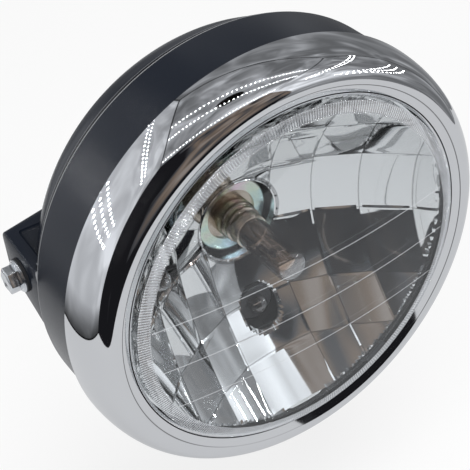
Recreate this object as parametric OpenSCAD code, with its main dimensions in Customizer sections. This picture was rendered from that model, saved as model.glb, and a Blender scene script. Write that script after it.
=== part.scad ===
/* [Lens] */
// Radius of the glass seen inside the rim
lens_r = 78; // [74:1:82]
// Rise of the domed glass above its own edge
lens_rise = 7.6; // [5:0.2:10]
// Thickness of the glass
lens_t = 3; // [2.5:0.25:4]
// Radial width of the glass flange that the rim lip covers
lens_flange_w = 6; // [4.5:0.5:7]
// Height of the raised glass face in front of its flange
lens_step = 3.1; // [2.5:0.1:4]
// Width of the fluted ring inside the edge of the glass
flute_ring_w = 6; // [4:0.5:8]
// Pitch of the three level ribs across the glass
level_rib_pitch = 21.7; // [18:0.1:24]
// Height of the top level rib above the lamp axis
level_rib_top = 11.8; // [8:0.1:16]

/* [Rim] */
// Width of the flat lip, from the glass to the front crest
rim_lip_w = 8.2; // [7.6:0.2:9]
// Width of the bulge, from the crest to the rim's rear edge
rim_bulge_w = 10.3; // [9:0.1:13]
// Depth of the rim from its crest to its rear edge
rim_depth = 21.6; // [19:0.2:25]
// How far the crest stands in front of the lip
rim_crest_rise = 1.4; // [1:0.1:2]
// Thickness of the rim's sheet
rim_t = 1; // [0.8:0.1:1.2]
// Gap between the lip's inner edge and the raised glass
lip_gap = 0.7; // [0.4:0.1:1]

/* [Bucket] */
// How far the band sits inside the rim's rear edge
band_inset = 2; // [1.6:0.1:2.6]
// Length of the band that shows behind the rim
band_len = 27.6; // [24:0.2:34]
// How far the band reaches in under the rim
band_overlap = 6.4; // [5:0.2:8]
// Wall of the bucket
bucket_wall = 2.8; // [2.2:0.2:3.4]
// Depth of the rounded bowl behind the band
bowl_depth = 48; // [44:1:56]
// Radius of the flat disc at the back of the bowl
bowl_flat_r = 38; // [30:1:44]

/* [Side lugs] */
// How far a lug's outer face lies inside the band's radius
lug_inset = 1.5; // [1:0.1:2.5]
// Thickness of a lug's outer cheek
cheek_t = 5; // [4:0.5:7]
// Length of a lug behind the bolt axis
lug_tail = 13.4; // [12:0.2:16]
// Height of a lug's rear end above the bolt axis
lug_rise = 15.5; // [13:0.5:18]
// How much lower a lug's top is where it leaves the band
lug_fall = 4; // [2:0.5:6]
// Depth of a lug's rear end below the bolt axis
lug_toe = 6.5; // [6:0.5:9]
// Depth of a lug below the bolt axis where it leaves the band
lug_drop = 20.5; // [16:0.5:24]
// Radius of a lug's rounded corners
lug_corner = 5; // [3:0.5:6]
// Distance from the band's rear edge to the bolt axis
bolt_back = 15.6; // [14:0.2:18]
// Height of the bolt axis above the lamp axis
bolt_z = 9.5; // [6:0.5:12]

/* [Side bolts] */
// Thread diameter of a side bolt
bolt_d = 6; // [5:1:8]
// Length of a bolt under its head
bolt_len = 16; // [14:1:20]
// Width of the hexagon across its flats
bolt_af = 10; // [8:1:11]
// Diameter of the bolt's flange
bolt_flange_d = 14.2; // [13:0.2:17]
// Thickness of the washer under the flange
washer_t = 1; // [0.8:0.1:1.6]
// Outer diameter of the threaded insert
insert_d = 11; // [10:0.5:14]
// Length of the threaded insert
insert_len = 12; // [9:0.5:14]

/* [Reflector] */
// Distance from the lens plane to the bottom of the bowl-shaped mirror
mirror_depth = 50; // [46:1:54]
// Wall of the reflector
mirror_wall = 2.4; // [2:0.2:3]
// Thickness of the reflector's flange
mirror_flange_t = 2.5; // [2:0.5:4]
// Radius of the opening for the bulb
bulb_hole_r = 19; // [17:0.5:20]
// Width of a facet column
facet_w = 17.2; // [15:0.2:20]
// Height of a facet on the lamp axis
facet_h = 30.4; // [26:0.2:34]
// Height of the facet edge that passes just below the lamp axis
facet_low = -8; // [-10:0.5:-6]
// How far every second facet stands off its neighbours
facet_sag = 0.4; // [0.2:0.1:0.8]
// Distance of the position lamp below the opening for the bulb
pos_below = 23; // [21:0.5:27]
// Radius of the opening for the position lamp
pos_hole_r = 9; // [8:0.5:10]

/* [Bulb] */
// Radius of the bulb's glass
glass_r = 7.2; // [6.5:0.1:8]
// Length of glass that shows in front of the metal cap
glass_len = 31; // [28:1:33]
// Radius of the bulb's locating flange
bulb_flange_r = 19; // [17:0.5:21]
// Radius of the round hole in the bulb plate
plate_hole_r = 12; // [11:0.5:13]
// How far the bulb plate reaches beyond the opening for the bulb
plate_reach = 10.4; // [10:0.2:12]
// Thickness of the bulb plate
plate_t = 1.2; // [1:0.1:1.6]

/* [Small parts] */
// Number of spring clips that hold the glass unit in the rim
clip_count = 6; // [4:2:8]
// Width of a spring clip
clip_w = 11; // [8:1:14]
// Thickness of a spring clip
clip_t = 0.8; // [0.6:0.1:1]
// Thread diameter of the rim screw
rim_screw_d = 5; // [4:1:6]
// Radius of the harness inlet in the grommet
inlet_r = 8; // [6:0.5:10]
// Drop of the harness inlet below the lamp axis
inlet_drop = 16; // [12:1:18]

/* [Hidden] */
$fn = 144;

// Radii
lip_r = lens_r + lip_gap;
rim_crest_r = lens_r + rim_lip_w;
rim_r = rim_crest_r + rim_bulge_w;
bucket_r = rim_r - band_inset;
lug_x = bucket_r - lug_inset;
plate_r = bulb_hole_r + plate_reach;
screw_ring = bulb_hole_r + 7;
lens_flange_r = lens_r + lens_flange_w;
mirror_r = lens_r - 1;
bowl_r = bucket_r - 4.5;
shoulder_r = bucket_r - 1.8;
dome_r = (lens_r * lens_r + lens_rise * lens_rise) / (2 * lens_rise);

// Places along the lamp axis, from the lens plane towards the back
lip_front = -0.4;
lip_back = lip_front + rim_t;
seal_t = 1;
lip_turn = seal_t - 0.2;
flange_front = lip_back + seal_t;
flange_back = flange_front + lens_t;
glass_edge = flange_front - lens_step;
mirror_front = flange_back;
crest_y = lip_front - rim_crest_rise + rim_t * 0.6;
rim_rear = crest_y + rim_depth;
band_front = rim_rear - band_overlap;
band_rear = rim_rear + band_len;
bolt_y = band_rear + bolt_back;
bowl_start = band_rear + 2;
bowl_back = bowl_start + bowl_depth * sqrt(1 - pow(bowl_flat_r / bowl_r, 2));

// Four times the mirror's focal length
focus4 = mirror_r * mirror_r / (mirror_depth - mirror_front);

// Bulb stack, measured back from the reflector's neck
neck_len = 2;
plate_front = mirror_depth + neck_len;
plate_back = plate_front + plate_t;
bulb_flange_front = plate_back;
bulb_flange_t = 1;
cap_front = mirror_depth - 14;
glass_tip = cap_front - glass_len;
base_len = 9;
base_r = 13.6;
base_back = bulb_flange_front + bulb_flange_t + base_len;

// Side lugs
lug_front = band_rear - 0.6;
lug_rear = bolt_y + lug_tail;
lug_top = bolt_z + lug_rise;

// Position lamp
pos_drop = bulb_hole_r + pos_below;
function mirror_y(r) = mirror_depth - r * r / focus4;
pos_mid = mirror_y(pos_drop);
pos_seat = pos_mid + 10;
pos_glass_r = 4.6;
pos_glass_t = 0.8;
pos_fit = 0.3;

// Fastener sizes that follow from the threads
plate_screw_r = 1.5;
thread_gap = 0.05;
rim_screw_y = rim_rear - 3.4;

// Moves the lamp from its own axis to the frame, whose origin is midway between the bolts
module placed() {
    translate([0, -bolt_y, -bolt_z]) children();
}

// Turns a section of radius and depth about the lamp axis
module turned() {
    rotate([-90, 0, 0]) rotate_extrude() children();
}

// A round bar along the lamp axis, from y0 to y1
module bar_y(r, y0, y1) {
    translate([0, y0, 0]) rotate([-90, 0, 0]) cylinder(r = r, h = y1 - y0);
}

// A round wire between two points
module wire(a, b, r) {
    d = b - a;
    l = norm(d);
    translate(a)
        rotate([0, acos(d[2] / l), atan2(d[1], d[0])])
            cylinder(r = r, h = l, $fn = 24);
}

// Points of the rim's bulge from crest to rear edge, moved inward by t
function bulge(t) = [for (i = [0:14])
    let (a = 90 * i / 14)
    [rim_crest_r + (rim_r - rim_crest_r) * sin(a) - t * sin(a),
     rim_rear - rim_depth * cos(a) + t * cos(a)]];

module rim_section() {
    outer = bulge(0);
    inner = bulge(rim_t);
    n = len(inner) - 1;
    polygon(concat(
        [[lip_r, lip_back + lip_turn], [lip_r, lip_front + 0.3], [lip_r + 0.3, lip_front],
         [rim_crest_r - 1.6, lip_front], [rim_crest_r - 0.7, crest_y + 0.15]],
        outer,
        [[rim_r - rim_t, rim_rear]],
        [for (i = [n - 1:-1:1]) inner[i]],
        [[rim_crest_r - 0.4, lip_back], [lip_r + rim_t, lip_back], [lip_r + rim_t, lip_back + lip_turn]]));
}

module rim() {
    color("gainsboro") placed() difference() {
        turned() rim_section();
        translate([0, rim_screw_y, -rim_r - 2]) cylinder(d = rim_screw_d + 0.6, h = 8);
    }
}

// Front face of the domed glass at radius r, moved back by t
function dome_y(r, t) = glass_edge - lens_rise + dome_r - sqrt(dome_r * dome_r - r * r) + t;

module lens_section() {
    steps = 12;
    polygon(concat(
        [for (i = [0:steps]) [lens_r * i / steps, dome_y(lens_r * i / steps, 0)]],
        [[lens_r, flange_front], [lens_flange_r, flange_front], [lens_flange_r, flange_back],
         [lens_r - 1, flange_back]],
        [for (i = [steps:-1:0])
            let (r = (lens_r - lens_t) * i / steps)
            [r, dome_y(r, lens_t)]]));
}

// A level rib across the glass, clipped to the dome
module level_rib(z) {
    rib_w = 0.7;
    rib_h = 0.35;
    half = sqrt(pow(lens_r - flute_ring_w, 2) - z * z);
    intersection() {
        translate([-half, glass_edge - lens_rise - 1, z - rib_w / 2])
            cube([2 * half, lens_rise + 4, rib_w]);
        turned() polygon(concat(
            [for (i = [0:12]) let (r = (lens_r - 1) * i / 12) [r, dome_y(r, -rib_h)]],
            [for (i = [12:-1:0]) let (r = (lens_r - 1) * i / 12) [r, dome_y(r, lens_t / 2)]]));
    }
}

module lens() {
    color([0.8, 0.86, 0.9, 0.35]) placed() {
        turned() lens_section();
        for (i = [0:2]) level_rib(level_rib_top - i * level_rib_pitch);
    }
}

// Facets lie in columns of one width and rows of one height; every second one stands proud
facet_cols = floor((mirror_r - 3) / facet_w);
facet_rows = [-mirror_r, facet_low - facet_h, facet_low, facet_low + facet_h, facet_low + 1.7 * facet_h,
              mirror_r];

// The mirror's own section, raised off the bowl by t
module mirror_section(t) {
    steps = 12;
    r0 = bulb_hole_r - 1;
    polygon(concat(
        [for (i = [0:steps]) let (r = r0 + (mirror_r - r0) * i / steps) [r, mirror_y(r) - t]],
        [for (i = [steps:-1:0]) let (r = r0 + (mirror_r - r0) * i / steps) [r, mirror_y(r) + 0.6]]));
}

// The facets of one column that stand facet_sag proud of the mirror
module facet_column(i) {
    gap = 0.4;
    first = i % 2 == 0 ? 0 : 1;
    intersection() {
        turned() mirror_section(facet_sag);
        for (j = [first:2:len(facet_rows) - 2])
            translate([i * facet_w + gap / 2, mirror_front, facet_rows[j] + gap / 2])
                cube([facet_w - gap, mirror_depth - mirror_front, facet_rows[j + 1] - facet_rows[j] - gap]);
    }
}

module reflector_section() {
    steps = 16;
    r0 = bulb_hole_r;
    flange_rear = mirror_front + mirror_flange_t;
    polygon(concat(
        [for (i = [0:steps]) let (r = r0 + (mirror_r - r0) * i / steps) [r, mirror_y(r)]],
        [[lens_flange_r, mirror_front], [lens_flange_r, flange_rear],
         [mirror_r + mirror_wall + 0.4, flange_rear]],
        [for (i = [steps:-1:3])
            let (r = r0 + (mirror_r - r0) * i / steps)
            [r + mirror_wall * 0.45, mirror_y(r) + mirror_wall]],
        [[bulb_hole_r + 3, mirror_y(bulb_hole_r + 3)], [bulb_hole_r + 3, plate_front],
         [bulb_hole_r, plate_front]]));
}

// Places for the three screws that hold the bulb plate to the reflector
module at_plate_screws() {
    for (a = [-90, 30, 150]) rotate([0, a, 0]) translate([screw_ring, 0, 0]) children();
}

module reflector() {
    boss_r = 4;
    collar = 2.4;
    color("lightgray") placed() difference() {
        union() {
            turned() reflector_section();
            for (i = [-facet_cols:facet_cols - 1]) facet_column(i);
            at_plate_screws() bar_y(boss_r, mirror_y(screw_ring + boss_r) + 1, plate_front);
            translate([0, 0, -pos_drop])
                bar_y(pos_hole_r + collar, pos_mid, pos_seat);
        }
        bar_y(bulb_hole_r, mirror_depth - 20, plate_front + 1);
        translate([0, 0, -pos_drop]) bar_y(pos_hole_r, pos_mid - 20, pos_seat + 1);
        at_plate_screws() bar_y(plate_screw_r, plate_front - 4.5, plate_front + 1);
    }
}

module lens_seal() {
    color("black") placed() turned()
        translate([lip_r + rim_t + 0.1, lip_back]) square([lens_flange_r - lip_r - rim_t - 0.6, seal_t]);
}

module bucket_outer() {
    steps = 12;
    end = acos(bowl_flat_r / bowl_r);
    f = 1;
    polygon(concat(
        [[0, band_front], [bucket_r, band_front], [bucket_r, band_rear - f],
         [bucket_r - 0.3 * f, band_rear - 0.3 * f], [bucket_r - f, band_rear],
         [shoulder_r, band_rear], [shoulder_r, bowl_start],
         [shoulder_r - 0.4, bowl_start + 1.1], [shoulder_r - 1.4, bowl_start + 1.8]],
        [for (i = [1:steps])
            let (a = end * i / steps)
            [bowl_r * cos(a), bowl_start + bowl_depth * sin(a)]],
        [[0, bowl_start + bowl_depth * sin(end)]]));
}

module bucket_inner() {
    steps = 12;
    w = bucket_wall;
    end = acos(bowl_flat_r / bowl_r);
    polygon(concat(
        [[0, band_front - 1], [bucket_r - w, band_front - 1], [bucket_r - w, band_rear - w]],
        [for (i = [0:steps])
            let (a = end * i / steps)
            [(bowl_r - w) * cos(a), bowl_start - w + bowl_depth * sin(a)]],
        [[0, bowl_start - w + bowl_depth * sin(end)]]));
}

// Points that round the corner b between its neighbours a and c
function unit(v) = v / norm(v);
function rounded(a, b, c, r) = let (
    u = unit(a - b), v = unit(c - b),
    half = acos(u * v) / 2,
    centre = b + unit(u + v) * r / sin(half),
    p = b + u * r / tan(half) - centre,
    q = b + v * r / tan(half) - centre,
    start = atan2(p[1], p[0]),
    turn = (atan2(q[1], q[0]) - start + 540) % 360 - 180)
    [for (i = [0:8]) centre + r * [cos(start + turn * i / 8), sin(start + turn * i / 8)]];

// Side view of a lug: it rises a little and narrows towards its rear end
module lug_outline() {
    top = [lug_front - 3, lug_top - lug_fall];
    heel = [lug_rear, lug_top];
    toe = [lug_rear, bolt_z - lug_toe];
    root = [lug_front - 3, bolt_z - lug_drop];
    polygon(concat([top], rounded(top, heel, toe, lug_corner), rounded(heel, toe, root, lug_corner), [root]));
}

// A side lug: it runs back a little towards the bowl, and is cut flat for the bolt
module lug() {
    w = 40;
    slant = 11;
    intersection() {
        translate([lug_x - w, lug_front, -lug_x]) cube([w, lug_rear, 2 * lug_x]);
        translate([lug_x, lug_rear, 0]) rotate([0, 0, -slant]) translate([-w, -lug_rear, 0])
            rotate([90, 0, 90]) linear_extrude(w + 10) lug_outline();
    }
}

// The shallow hollow behind a lug's cheek, which deepens towards the band
module lug_hollow() {
    rear = lug_rear - 5;
    front = bowl_start + 1.5;
    low = lug_top - lug_fall;
    translate([lug_x - cheek_t - 40, 0, 0]) rotate([90, 0, 90]) linear_extrude(40)
        polygon([[rear, lug_top - 1.2], [front, low - 4.5], [front, lug_top + 9], [rear, lug_top + 9]]);
}

module bucket() {
    color([0.13, 0.14, 0.16]) placed() difference() {
        union() {
            turned() bucket_outer();
            for (side = [0, 1]) mirror([side, 0, 0]) difference() {
                lug();
                lug_hollow();
            }
        }
        turned() bucket_inner();
        for (s = [-1, 1])
            translate([s * (lug_x + 1), bolt_y, bolt_z]) rotate([0, -90 * s, 0]) {
                cylinder(d = insert_d, h = insert_len + 1);
                cylinder(d = bolt_d + 1, h = bolt_len + 2);
            }
        translate([0, 0, -inlet_drop]) bar_y(inlet_r + 3, bowl_back - 20, bowl_back + 5);
        translate([0, rim_screw_y, -bucket_r - 2]) cylinder(d = rim_screw_d + 0.8, h = 8);
    }
}

module bulb_plate() {
    color([0.75, 0.78, 0.8]) placed() difference() {
        bar_y(plate_r, plate_front, plate_back);
        bar_y(plate_hole_r, plate_front - 1, plate_back + 1);
        at_plate_screws() bar_y(plate_screw_r + 0.2, plate_front - 1, plate_back + 1);
    }
}

module plate_screws() {
    head_r = 2.8;
    color("silver") placed() at_plate_screws() {
        bar_y(head_r, plate_back, plate_back + 1.8);
        bar_y(plate_screw_r - 0.05, plate_back - 4.4, plate_back + 0.5);
    }
}

module bulb_cap() {
    front_r = glass_r + 0.4;
    rear_r = front_r + 1.4;
    f = bulb_flange_front;
    color("darkgray") placed() difference() {
        turned() polygon([
            [0, cap_front], [front_r, cap_front], [front_r, cap_front + 6],
            [front_r + 0.8, cap_front + 7], [front_r + 0.8, cap_front + 9.5],
            [rear_r, cap_front + 10.5], [rear_r, f], [bulb_flange_r, f],
            [bulb_flange_r, f + bulb_flange_t], [base_r, f + bulb_flange_t],
            [base_r, f + bulb_flange_t + base_len - 1], [base_r - 0.8, f + bulb_flange_t + base_len],
            [0, f + bulb_flange_t + base_len]]);
        bar_y(glass_r + 0.05, cap_front - 1, cap_front + 8);
    }
}

module bulb_glass() {
    tip_r = 3;
    color([0.9, 0.92, 0.95, 0.35]) placed() difference() {
        turned() polygon(concat(
            [[0, glass_tip]],
            [for (i = [0:6]) let (a = 90 * i / 6)
                [glass_r - tip_r + tip_r * sin(a), glass_tip + tip_r - tip_r * cos(a)]],
            [[glass_r, cap_front + 8], [0, cap_front + 8]]));
        bar_y(glass_r - 1, glass_tip + 3.2, cap_front + 7);
    }
}

module bulb_filaments() {
    post_back = cap_front + 7;
    coil_r = 0.9;
    color("silver") placed() {
        wire([-3.4, post_back, -2], [-3.4, glass_tip + 6, 0.6], 0.4);
        wire([3.4, post_back, -2], [3.4, glass_tip + 12, 0.6], 0.4);
        wire([-3.4, glass_tip + 6, 0.6], [0, glass_tip + 6, 0.6], 0.3);
        wire([0, glass_tip + 6, 0.6], [0, glass_tip + 11, 0.6], coil_r);
        wire([0, glass_tip + 11, 0.6], [3.4, glass_tip + 12, 0.6], 0.3);
        wire([0, glass_tip + 18, 0], [0, glass_tip + 23, 0], coil_r);
        wire([0, glass_tip + 23, 0], [3.4, glass_tip + 24, -0.4], 0.3);
        wire([0, glass_tip + 18, 0], [0, glass_tip + 12, -0.4], 0.3);
    }
}

module bulb_shield() {
    color("gray") placed() translate([0, glass_tip + 6, 0]) difference() {
        rotate([-90, 0, 0]) cylinder(r = 4.2, h = 8);
        translate([0, 1, 0.4]) rotate([-90, 0, 0]) cylinder(r = 3.5, h = 8);
        translate([-6, -1, -0.6]) cube([12, 10, 8]);
    }
}

module bulb_blades() {
    blade_w = 7.8;
    blade_t = 0.8;
    blade_len = 12;
    color("gold") placed()
        for (p = [[0, 7, 0], [-8, -3, 90], [8, -3, 90]])
            translate([p[0], base_back, p[1]]) rotate([0, p[2], 0])
                translate([-blade_w / 2, 0, -blade_t / 2]) cube([blade_w, blade_len, blade_t]);
}

module bulb_spring() {
    r = 0.8;
    y = bulb_flange_front + bulb_flange_t + r;
    w = bulb_flange_r - 3.6;
    h = bulb_flange_r + 1;
    color("silver") placed() {
        for (x = [-w, w]) {
            wire([x, y, -h], [x, y, h], r);
            translate([x, y, -h]) sphere(r, $fn = 24);
        }
        wire([-w, y, -h], [w, y, -h], r);
    }
}

module bulb_boot() {
    y0 = bulb_flange_front + bulb_flange_t + 1.8;
    wide = plate_r - 0.4;
    neck = base_r;
    color("black") placed() turned() polygon([
        [wide, y0], [wide, y0 + 2.5], [wide - 4, y0 + 3.5], [neck + 3.2, base_back - 1],
        [neck + 2.2, base_back + 3], [neck, base_back + 3], [neck, base_back - 3],
        [neck + 1.2, base_back - 3], [wide - 5.5, y0 + 2.2], [wide - 5.5, y0]]);
}

module position_glass() {
    top = pos_mid - 3;
    r = pos_glass_r;
    color([0.9, 0.92, 0.95, 0.35]) placed() translate([0, 0, -pos_drop]) difference() {
        turned() polygon(concat(
            [for (i = [0:6]) let (a = 90 * i / 6) [r * sin(a), top + r - r * cos(a)]],
            [[r, pos_mid + 8], [0, pos_mid + 8]]));
        bar_y(r - pos_glass_t, top + r * 0.6, pos_mid + 6);
    }
}

module position_holder() {
    flange = pos_seat;
    color("dimgray") placed() translate([0, 0, -pos_drop]) difference() {
        turned() polygon([
            [0, pos_mid + 3], [pos_hole_r - pos_fit, pos_mid + 3], [pos_hole_r - pos_fit, flange],
            [pos_hole_r + 2.4, flange], [pos_hole_r + 2.4, flange + 3], [pos_hole_r - 1, flange + 3],
            [pos_hole_r - 2, flange + 9], [0, flange + 9]]);
        bar_y(pos_glass_r + 0.05, pos_mid, pos_mid + 8);
    }
}

module position_filament() {
    w = 1.8;
    back = pos_mid + 6;
    front = pos_mid + 1.5;
    color("silver") placed() translate([0, 0, -pos_drop]) {
        for (x = [-w, w]) wire([x, back, 0], [x, front, 0], 0.25);
        wire([-w - 0.2, front, 0], [w + 0.2, front, 0], 0.3);
    }
}

// A spring clip: its foot presses on the rim's inner wall and its finger on the reflector's flange
module rim_clips() {
    flange_rear = mirror_front + mirror_flange_t;
    foot_r = rim_r - rim_t - 1.2;
    color("silver") placed()
        for (side = [0, 180]) for (i = [0:clip_count / 2 - 1])
            rotate([0, side - 60 + 120 * i / (clip_count / 2 - 1), 0])
            translate([0, 0, -clip_w / 2]) linear_extrude(clip_w) polygon([
                [lens_flange_r - 5, flange_rear], [lens_flange_r - 1, flange_rear],
                [lens_flange_r + 1, flange_rear + 3], [foot_r - 4, flange_rear + 4],
                [foot_r - clip_t, rim_rear - 9], [foot_r, rim_rear - 9],
                [foot_r - 2.8, flange_rear + 4 + clip_t], [lens_flange_r + 0.6, flange_rear + 3 + clip_t],
                [lens_flange_r - 1.4, flange_rear + clip_t], [lens_flange_r - 5, flange_rear + clip_t]]);
}

// The bolt, washer and insert share one axis through the lug's cheek
module at_lug(side) {
    placed() translate([side * lug_x, bolt_y, bolt_z]) rotate([0, 90 * side, 0]) children();
}

module insert(side) {
    color("goldenrod") at_lug(side) difference() {
        translate([0, 0, -insert_len]) cylinder(d = insert_d, h = insert_len);
        translate([0, 0, -insert_len - 1]) cylinder(d = bolt_d + 2 * thread_gap, h = insert_len + 2);
    }
}

module washer(side) {
    color("black") at_lug(side) difference() {
        cylinder(d = bolt_flange_d + 0.6, h = washer_t);
        translate([0, 0, -1]) cylinder(d = bolt_d + 0.6, h = washer_t + 2);
    }
}

module bolt(side) {
    flange_t = 1.6;
    head_h = 6.4;
    color("silver") at_lug(side) translate([0, 0, washer_t]) {
        translate([0, 0, -bolt_len]) cylinder(d = bolt_d, h = bolt_len + 1);
        cylinder(d = bolt_flange_d, h = flange_t);
        cylinder(d = bolt_af / cos(30), h = head_h, $fn = 6);
    }
}

module rim_hook() {
    hook_w = 16;
    t = 1.2;
    top = sqrt(pow(bucket_r - bucket_wall - 0.2, 2) - hook_w * hook_w / 4);
    color("silver") placed() translate([-hook_w / 2, 0, 0]) rotate([90, 0, 90])
        linear_extrude(hook_w) polygon([
            [band_front - 4, top + 1.6], [band_front - 2.6, top + 1.6],
            [band_front - 1.4, top], [band_front + 10, top], [band_front + 10, top - t],
            [band_front - 2.2, top - t], [band_front - 4, top + 0.4]]);
}

module rim_screw() {
    color("silver") placed() translate([0, rim_screw_y, -rim_r]) {
        translate([0, 0, -2.4]) cylinder(d = rim_screw_d * 1.8, h = 2.4);
        cylinder(d = rim_screw_d, h = 11);
    }
}

module rim_nut() {
    color("silver") placed() translate([0, rim_screw_y, -bucket_r + bucket_wall + 0.3]) difference() {
        translate([-5, -5, 0]) cube([10, 10, 4]);
        translate([0, 0, -1]) cylinder(d = rim_screw_d + 2 * thread_gap, h = 6);
    }
}

module harness_grommet() {
    w = bucket_wall;
    color("black") placed() translate([0, 0, -inlet_drop]) turned() polygon([
        [inlet_r, bowl_back - w - 3], [inlet_r + 5, bowl_back - w - 2], [inlet_r + 5, bowl_back - w],
        [inlet_r + 3, bowl_back - w], [inlet_r + 3, bowl_back], [inlet_r + 5, bowl_back],
        [inlet_r + 5, bowl_back + 1.5], [inlet_r, bowl_back + 3]]);
}

bucket();
rim();
lens();
reflector();
lens_seal();
bulb_plate();
plate_screws();
bulb_cap();
bulb_glass();
bulb_filaments();
bulb_shield();
bulb_blades();
bulb_spring();
bulb_boot();
position_glass();
position_filament();
position_holder();
rim_clips();
rim_hook();
rim_screw();
rim_nut();
insert(-1);  // left_insert
insert(1);  // right_insert
bolt(-1);  // left_bolt
bolt(1);  // right_bolt
washer(-1);  // left_washer
washer(1);  // right_washer
harness_grommet();
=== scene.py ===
# %% [markdown]
# A round motorcycle headlight, from its solids to its finish. The frame holds the exact parts;
# this lesson gives them the surfaces that a camera sees: chrome, clear ribbed glass, a mirror
# of many facets, satin black and zinc. The lamp's axis runs along Y, and its glass faces -Y.

import math
import random

import bmesh
import bpy
from mathutils import Matrix, Vector


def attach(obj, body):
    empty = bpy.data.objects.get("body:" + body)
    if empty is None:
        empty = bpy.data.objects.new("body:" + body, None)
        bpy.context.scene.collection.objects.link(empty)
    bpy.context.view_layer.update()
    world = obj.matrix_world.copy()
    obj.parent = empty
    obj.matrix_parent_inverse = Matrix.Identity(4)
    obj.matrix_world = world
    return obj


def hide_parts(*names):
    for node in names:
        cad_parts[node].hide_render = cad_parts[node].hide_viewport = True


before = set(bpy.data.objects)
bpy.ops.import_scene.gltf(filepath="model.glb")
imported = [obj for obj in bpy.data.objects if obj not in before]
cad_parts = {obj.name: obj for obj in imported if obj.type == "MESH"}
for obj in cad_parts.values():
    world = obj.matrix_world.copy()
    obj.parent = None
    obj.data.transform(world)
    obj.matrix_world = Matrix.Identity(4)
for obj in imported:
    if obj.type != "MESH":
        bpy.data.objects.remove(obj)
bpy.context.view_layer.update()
print("nodes:", len(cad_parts))

# %% [markdown]
# Every size below is in millimetres on the lamp's own axis: a radius, and a depth behind the
# plane where the glass meets the rim. The frame's origin is on the side bolts instead, so one
# helper turns a radius and a depth into a place in the frame.

# %% Places on the lamp
MM = 0.001
BOLT_Y, BOLT_Z = 63.6, 9.5
AXIS = Vector((0, 0, -BOLT_Z * MM))


def place(x, y, z):
    return Vector((x * MM, (y - BOLT_Y) * MM, (z - BOLT_Z) * MM))


print("lamp axis at height", AXIS.z)


# %% [markdown]
# Pieces are modelled as by hand, with the same tools as the menus have. A few helpers keep
# that short: let go of everything, take one piece, settle it, and apply a modifier.

# %% Small helpers for modelling by hand
def put_down():
    """Leaves edit mode and lets go of everything."""
    if bpy.context.object and bpy.context.object.mode != "OBJECT":
        bpy.ops.object.mode_set(mode="OBJECT")
    bpy.ops.object.select_all(action="DESELECT")


def take(piece):
    """Makes one piece the active and only selected one."""
    put_down()
    bpy.context.view_layer.objects.active = piece
    piece.select_set(True)


def settle(name, smooth=30):
    """Names the active piece, puts its place into its mesh and smooths its curved faces."""
    piece = bpy.context.object
    if piece.mode != "OBJECT":
        bpy.ops.object.mode_set(mode="OBJECT")
    bpy.ops.object.transform_apply(location=True, rotation=True, scale=True)
    piece.name = piece.data.name = name
    if smooth:
        bpy.ops.object.shade_smooth_by_angle(angle=math.radians(smooth))
    return piece


def apply(piece, kind, **settings):
    """Adds a modifier, sets it and applies it at once."""
    take(piece)
    modifier = piece.modifiers.new(kind.title(), kind)
    for key, value in settings.items():
        setattr(modifier, key, value)
    bpy.ops.object.modifier_apply(modifier=modifier.name)


def soften(piece, width, segments, angle=40):
    """Bevels the edges that are sharper than an angle, as a mould leaves them."""
    apply(piece, "BEVEL", width=width * MM, segments=segments, limit_method="ANGLE",
          angle_limit=math.radians(angle))


def drop_faces(piece, unwanted):
    """Takes away the faces that a test picks."""
    mesh = bmesh.new()
    mesh.from_mesh(piece.data)
    bmesh.ops.delete(mesh, geom=[f for f in mesh.faces if unwanted(f)], context="FACES")
    mesh.to_mesh(piece.data)
    mesh.free()


def join(name, *parts, smooth=30):
    """Joins pieces that are one thing on the real lamp."""
    take(parts[0])
    for part in parts[1:]:
        part.select_set(True)
    bpy.ops.object.join()
    return settle(name, smooth)


print("helpers take, settle, soften and join pieces")

# %% [markdown]
# Most of this lamp is turned: rim, glass, shell and bulb are each one section swept round the
# axis. A potter's way suits them: a point is extruded along the section, and Spin carries the
# line round. It gives even rings of faces, so highlights run smoothly.

# %% Turning a section
def turn(name, section, steps=192, closed=True, centre=(0, 0), smooth=30):
    """Turns a section of (radius, depth) points about the lamp's axis, or one beside it."""
    put_down()
    cx, cz = centre
    start = place(cx + section[0][0], section[0][1], cz)
    bpy.ops.mesh.primitive_plane_add(size=MM, location=start)
    bpy.ops.object.mode_set(mode="EDIT")
    bpy.ops.mesh.merge(type="CENTER")
    here = start
    for r, y in section[1:]:
        there = place(cx + r, y, cz)
        bpy.ops.mesh.extrude_vertices_move(TRANSFORM_OT_translate={"value": there - here})
        here = there
    if closed:
        mesh = bmesh.from_edit_mesh(bpy.context.object.data)
        for v in mesh.verts:
            v.select_set(len(v.link_edges) == 1)
        mesh.select_flush(True)
        bmesh.update_edit_mesh(bpy.context.object.data)
        bpy.ops.mesh.edge_face_add()
    bpy.ops.mesh.select_all(action="SELECT")
    bpy.ops.mesh.spin(steps=steps, angle=2 * math.pi, center=place(cx, 0, cz), axis=(0, 1, 0))
    bpy.ops.mesh.select_all(action="SELECT")
    bpy.ops.mesh.remove_doubles(threshold=0.000005)
    bpy.ops.mesh.normals_make_consistent(inside=False)
    return settle(name, smooth)


def arc(cx, cy, rx, ry, a0, a1, n):
    """Points on an ellipse from one angle to another, in degrees."""
    return [(cx + rx * math.cos(math.radians(a0 + (a1 - a0) * i / n)),
             cy + ry * math.sin(math.radians(a0 + (a1 - a0) * i / n))) for i in range(n + 1)]


print("a quarter arc of 8 steps has", len(arc(0, 0, 1, 1, 0, 90, 8)), "points")

# %% [markdown]
# The chrome rim is pressed sheet: a full bulge outside, a sharp crest, and a lip that slopes
# back onto the glass. The bulge is a quarter of an ellipse, so it reads as one deep roll.

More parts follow.
